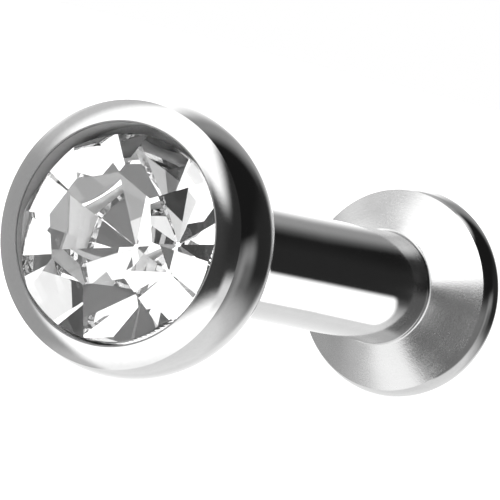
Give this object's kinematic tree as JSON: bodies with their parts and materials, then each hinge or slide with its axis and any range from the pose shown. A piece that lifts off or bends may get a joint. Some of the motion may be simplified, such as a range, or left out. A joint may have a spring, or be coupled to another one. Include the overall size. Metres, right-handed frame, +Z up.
{
  "type": "labret stud",
  "caption": "Labret stud: straight turned post with a flared flat back, and a barrel-shaped jewelled head that comes off the post's end.",
  "frame": {"origin": "middle of the bounding box on the surface that the stud lies on", "axes": "+Z up, the stud's axis in the YZ plane with the jewel towards -Y and raised 3.3 degrees, because the head is wider than the back"},
  "size_m": [0.004, 0.01, 0.004],
  "materials": {
    "post_steel": "polished",
    "head_steel": "polished",
    "crystal": "gloss"
  },
  "bodies": {
    "stud": {"post": "post_steel"},
    "head": {"setting": "head_steel", "stone": "crystal"}
  },
  "joints": [
    {"name": "head_off", "type": "slide", "parent": "stud", "child": "head", "axis": [0, -0.9983, 0.0577], "range_m": [0, 0.012]}
  ]
}
